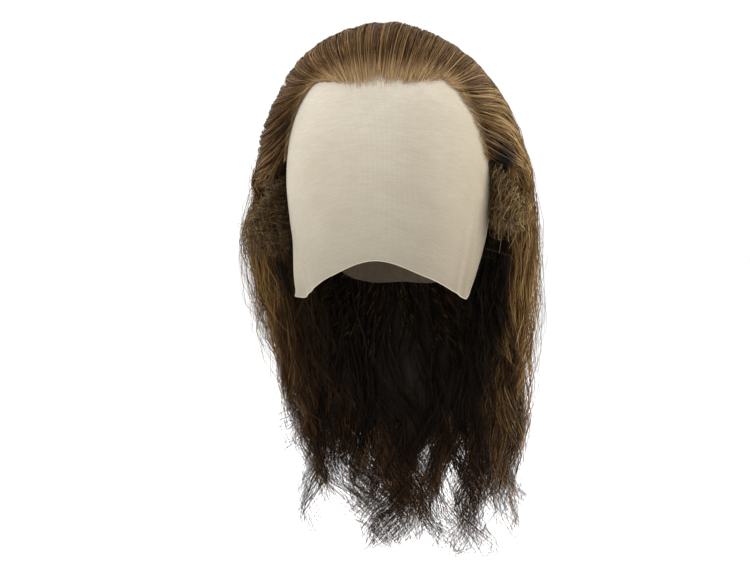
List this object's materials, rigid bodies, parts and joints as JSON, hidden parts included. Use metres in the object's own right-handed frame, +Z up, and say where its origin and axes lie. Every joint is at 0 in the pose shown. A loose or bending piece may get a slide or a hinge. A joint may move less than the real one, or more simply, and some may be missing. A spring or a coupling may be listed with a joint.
{
  "type": "lace front wig",
  "caption": "Lace front wig: a sheer front panel and net cap carrying long brown hair combed back from the hairline, with frizzy sideburns.",
  "frame": {"origin": "inside of the cap at the crown, where it sits on the head", "axes": "+Z up, the face towards -Y, the wearer's left towards +X"},
  "size_m": [0.2282, 0.223, 0.4206],
  "materials": {
    "lace_net": "sheer beige net",
    "cap_net": "matt light brown net",
    "brown_hair": "satin brown hair",
    "golden_hair": "frizzy golden brown hair"
  },
  "bodies": {
    "root": {"lace_front": "lace_net", "cap": "cap_net", "top_hair": "brown_hair", "back_hair": "brown_hair", "side_hair_left": "brown_hair", "side_hair_right": "brown_hair", "sideburn_left": "golden_hair", "sideburn_right": "golden_hair"}
  },
  "joints": []
}
